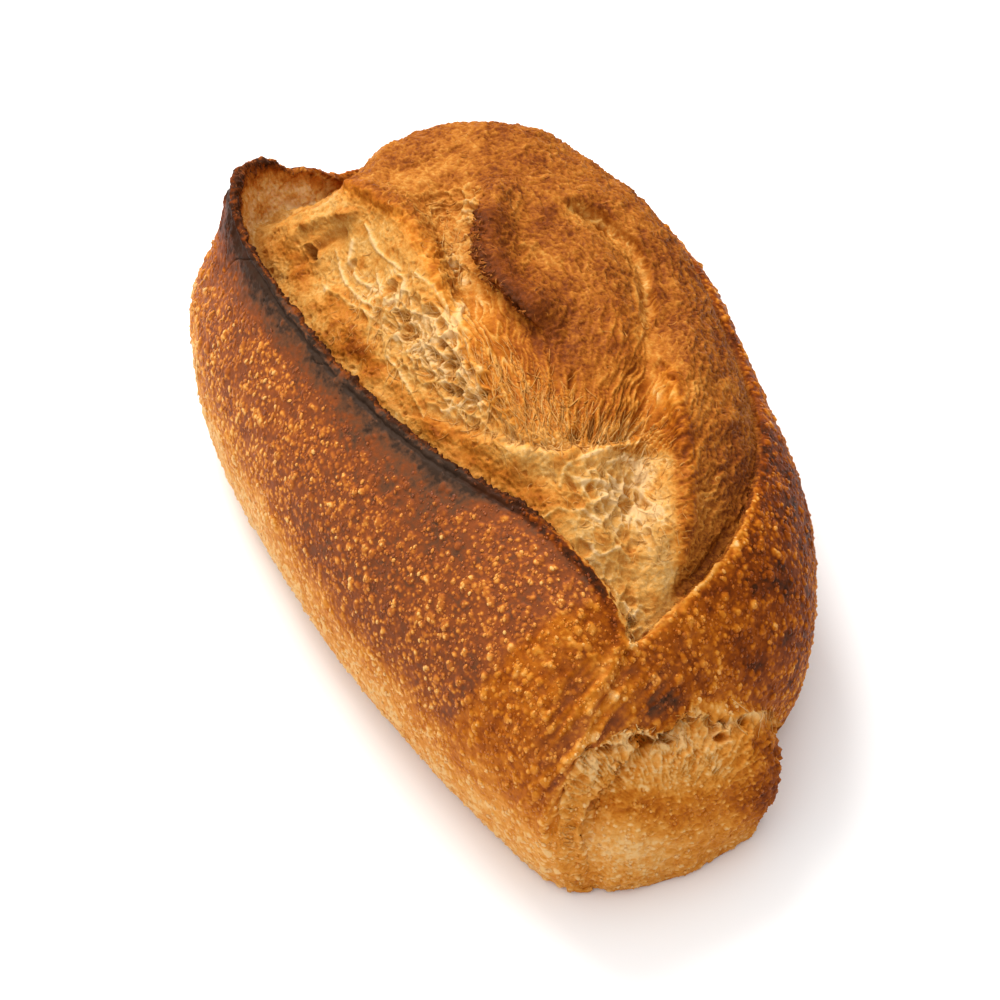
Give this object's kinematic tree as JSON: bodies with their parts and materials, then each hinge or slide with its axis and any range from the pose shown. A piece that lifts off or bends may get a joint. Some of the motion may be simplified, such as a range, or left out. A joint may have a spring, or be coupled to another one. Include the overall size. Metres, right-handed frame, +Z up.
{
  "type": "sourdough country loaf",
  "caption": "Oval sourdough country loaf: a slashed, blistered crust with a charred ear over a wide torn bloom, and a burst front end with a round bulge.",
  "frame": {"origin": "middle of the flat base, under the centre of the whole loaf's bounding box", "axes": "+X along the loaf to the burst end, +Y to the side of the high dome (the ear is on the -Y side), +Z up from the base"},
  "size_m": [0.2802, 0.175, 0.1196],
  "materials": {
    "crust": "matte, dry baked crust with a slight satin on the browned skin and open torn crumb in the slash"
  },
  "bodies": {
    "root": {"loaf": "crust"}
  },
  "joints": []
}
